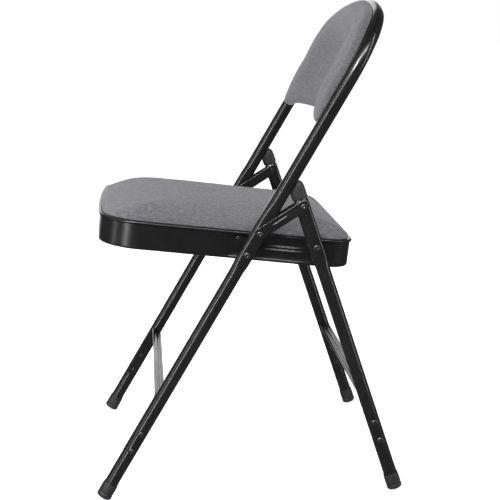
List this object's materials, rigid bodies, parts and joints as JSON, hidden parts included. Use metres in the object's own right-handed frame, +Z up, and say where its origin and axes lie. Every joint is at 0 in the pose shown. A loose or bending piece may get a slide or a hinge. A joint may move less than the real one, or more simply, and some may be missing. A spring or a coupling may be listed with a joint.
{
  "type": "folding chair",
  "caption": "Folding chair with a bent-tube frame, padded fabric seat in a steel rim, padded backrest, linked rear legs and cross braces.",
  "frame": {"origin": "centre of the overall box on the floor, chair open", "axes": "+Z up; the sitter faces -Y; +X is the sitter's left"},
  "size_m": [0.473, 0.5092, 0.8097],
  "materials": {
    "black_powder_coat": "semi-gloss black powder coat",
    "black_fasteners": "black painted steel",
    "black_plastic": "matte black moulded plastic",
    "rubber_feet": "matte black rubber",
    "fabric_cover": "heathered mid-grey woven upholstery",
    "plywood": "unfinished plywood"
  },
  "bodies": {
    "front_frame": {"front_frame_tube": "black_powder_coat", "front_foot_left": "rubber_feet", "front_foot_right": "rubber_feet", "front_cross_brace": "black_powder_coat", "front_brace_rivet_lower_left": "black_fasteners", "front_brace_rivet_lower_right": "black_fasteners", "front_brace_rivet_upper_left": "black_fasteners", "front_brace_rivet_upper_right": "black_fasteners", "backrest_cushion": "fabric_cover", "backrest_panel": "black_powder_coat", "backrest_screw_1": "black_fasteners", "backrest_screw_2": "black_fasteners", "backrest_screw_3": "black_fasteners", "backrest_screw_4": "black_fasteners"},
    "seat": {"seat_pan": "black_powder_coat", "seat_board": "plywood", "seat_cushion": "fabric_cover", "seat_side_bracket_left": "black_powder_coat", "seat_side_bracket_right": "black_powder_coat", "seat_bracket_rivet_front_left": "black_fasteners", "seat_bracket_rivet_front_right": "black_fasteners", "seat_bracket_rivet_rear_left": "black_fasteners", "seat_bracket_rivet_rear_right": "black_fasteners", "seat_board_screw_1": "black_fasteners", "seat_board_screw_2": "black_fasteners", "seat_board_screw_3": "black_fasteners", "seat_board_screw_4": "black_fasteners", "front_pivot_rivet_left": "black_fasteners", "front_pivot_rivet_right": "black_fasteners", "rear_pivot_rivet_left": "black_fasteners", "rear_pivot_rivet_right": "black_fasteners", "front_pivot_spacer_left": "black_plastic", "front_pivot_spacer_right": "black_plastic", "rear_pivot_spacer_left": "black_plastic", "rear_pivot_spacer_right": "black_plastic"},
    "rear_legs": {"rear_leg_tube_left": "black_powder_coat", "rear_leg_tube_right": "black_powder_coat", "rear_cross_brace": "black_powder_coat", "rear_brace_rivet_lower_left": "black_fasteners", "rear_brace_rivet_lower_right": "black_fasteners", "rear_brace_rivet_upper_left": "black_fasteners", "rear_brace_rivet_upper_right": "black_fasteners", "rear_foot_left": "rubber_feet", "rear_foot_right": "rubber_feet", "rear_leg_cap_left": "black_plastic", "rear_leg_cap_right": "black_plastic"},
    "hinge_link_left": {"hinge_plate_outer_left": "black_powder_coat", "hinge_plate_inner_left": "black_powder_coat", "link_front_rivet_left": "black_fasteners", "link_rear_rivet_outer_left": "black_fasteners", "link_rear_rivet_inner_left": "black_fasteners"},
    "hinge_link_right": {"hinge_plate_outer_right": "black_powder_coat", "hinge_plate_inner_right": "black_powder_coat", "link_front_rivet_right": "black_fasteners", "link_rear_rivet_outer_right": "black_fasteners", "link_rear_rivet_inner_right": "black_fasteners"}
  },
  "joints": [
    {"name": "seat_fold", "type": "hinge", "parent": "front_frame", "child": "seat", "pos_m": [0, -0.00776, 0.40768], "axis": [-1, 0, 0], "range_deg": [0, 105]},
    {"name": "rear_leg_fold", "type": "hinge", "parent": "seat", "child": "rear_legs", "pos_m": [0, 0.10461, 0.41793], "axis": [1, 0, 0], "range_deg": [0, 60.47]},
    {"name": "link_fold_left", "type": "hinge", "parent": "front_frame", "child": "hinge_link_left", "pos_m": [0.221, 0.01253, 0.44215], "axis": [-1, 0, 0], "range_deg": [0, 127.76]},
    {"name": "link_fold_right", "type": "hinge", "parent": "front_frame", "child": "hinge_link_right", "pos_m": [-0.221, 0.01253, 0.44215], "axis": [-1, 0, 0], "range_deg": [0, 127.76]}
  ],
  "couplings": [
    {"joint": "rear_leg_fold", "follows": "seat_fold", "ratio": 0.57575},
    {"joint": "link_fold_left", "follows": "seat_fold", "ratio": 1.2166},
    {"joint": "link_fold_right", "follows": "seat_fold", "ratio": 1.2166}
  ]
}
